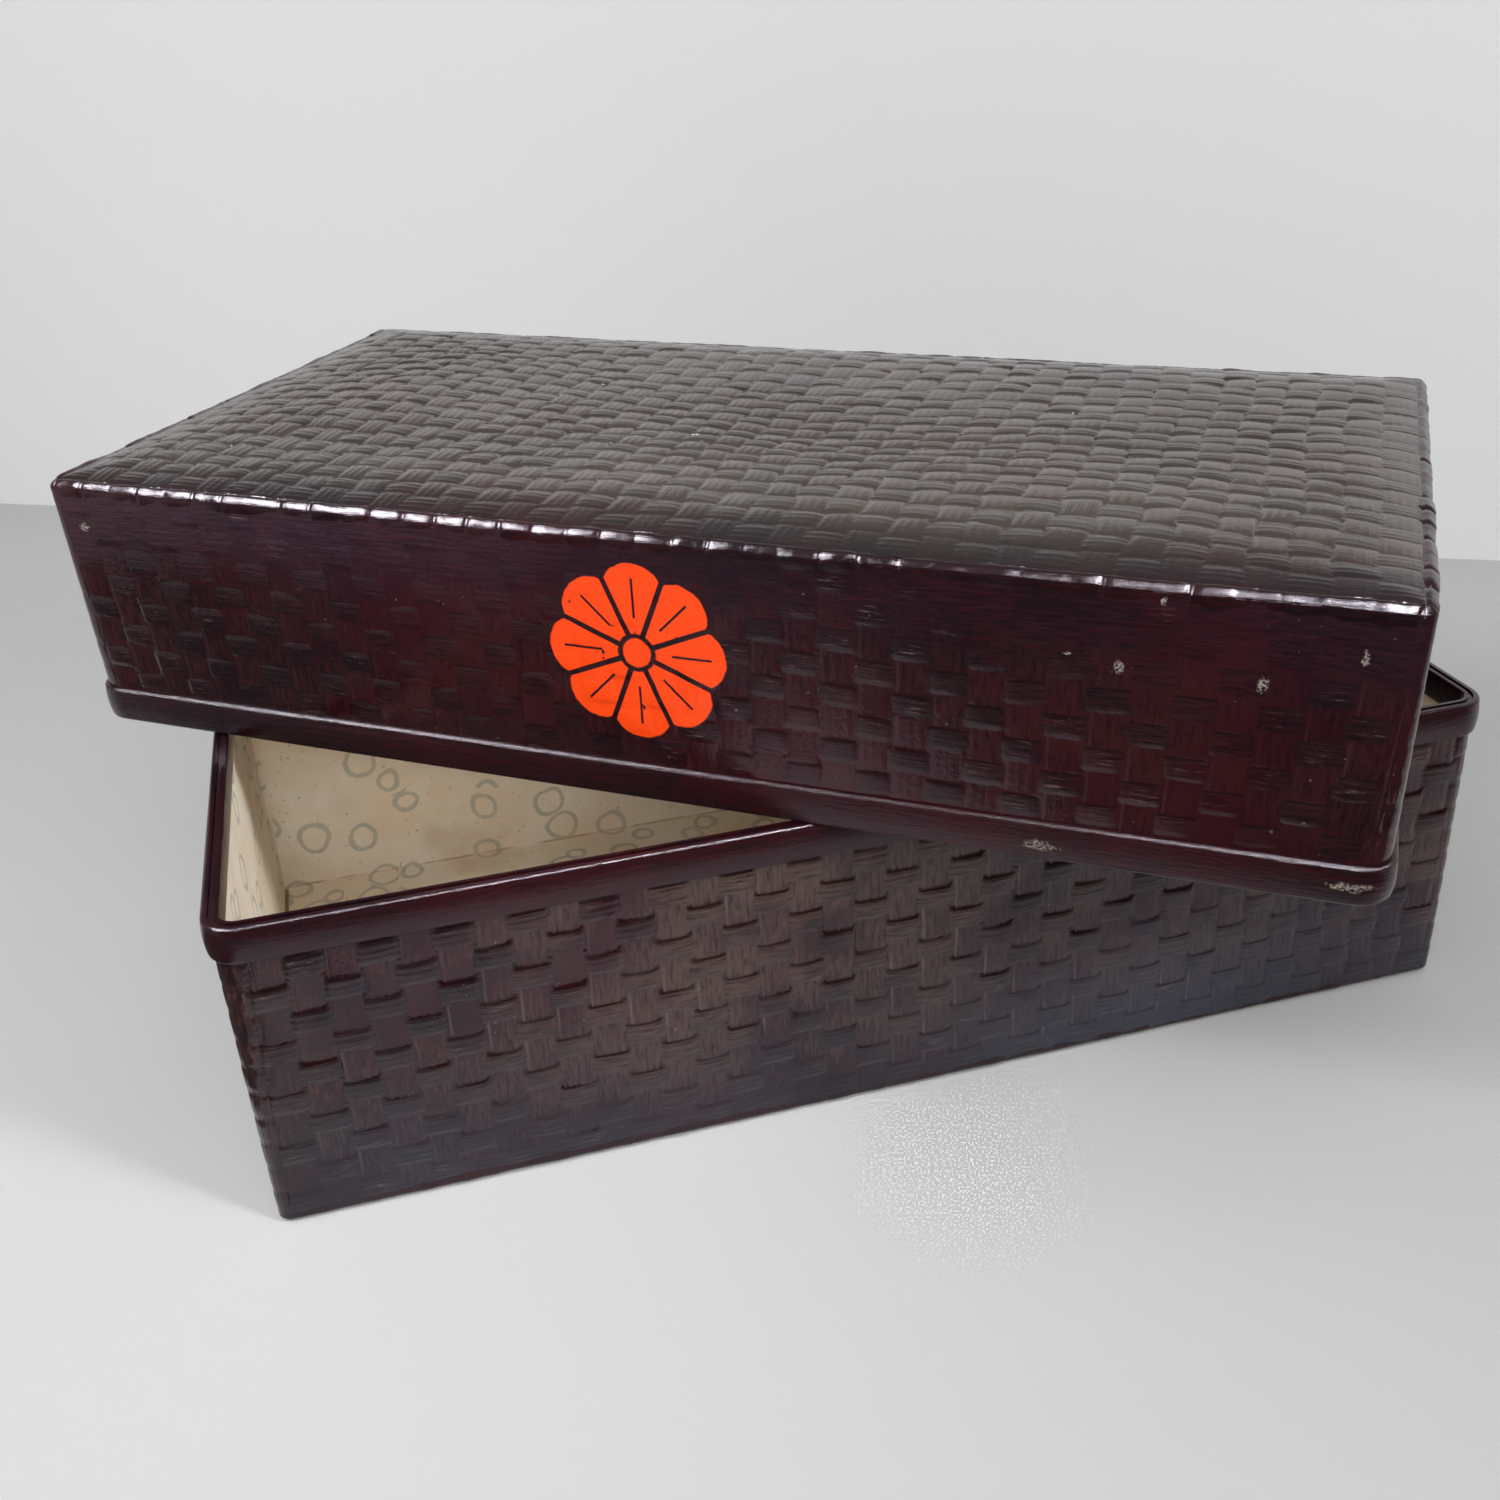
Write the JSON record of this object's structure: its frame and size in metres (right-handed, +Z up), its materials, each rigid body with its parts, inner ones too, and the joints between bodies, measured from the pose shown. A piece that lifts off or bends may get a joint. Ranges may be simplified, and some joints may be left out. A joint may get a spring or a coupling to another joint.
{
  "type": "lidded clothes chest",
  "caption": "Rectangular woven-bamboo clothes chest under lacquered paper, with hooped rims, a paper lining and a deep slip-over lid that lifts off.",
  "frame": {"origin": "middle of the base's flat underside, on the surface that the chest stands on", "axes": "+X along the base's length, +Y from its front wall to its back wall, +Z up"},
  "size_m": [0.9822, 0.8736, 0.421],
  "materials": {
    "bamboo": "bare split bamboo",
    "lacquered_paper": "dark maroon lacquer over paper, satin gloss",
    "rim_lacquer": "dark maroon lacquer over bent bamboo, gloss",
    "lining_paper": "matt cream paper"
  },
  "bodies": {
    "base": {"base_side_weave": "bamboo", "base_floor_weave": "bamboo", "base_side_skin": "lacquered_paper", "base_floor_skin": "lacquered_paper", "base_edge_binding": "lacquered_paper", "base_outer_hoop": "rim_lacquer", "base_inner_hoop": "rim_lacquer", "base_lining_sheet": "lining_paper", "base_lining_left": "lining_paper", "base_lining_right": "lining_paper"},
    "lid": {"lid_side_weave": "bamboo", "lid_top_weave": "bamboo", "lid_side_skin": "lacquered_paper", "lid_top_skin": "lacquered_paper", "lid_edge_binding": "lacquered_paper", "lid_outer_hoop": "rim_lacquer", "lid_inner_hoop": "rim_lacquer", "lid_lining_sheet": "lining_paper", "lid_lining_left": "lining_paper", "lid_lining_right": "lining_paper"}
  },
  "joints": [
    {"name": "lid_lift", "type": "slide", "parent": "base", "child": "lid", "axis": [0, 0, 1], "range_m": [0, 0.3]}
  ]
}
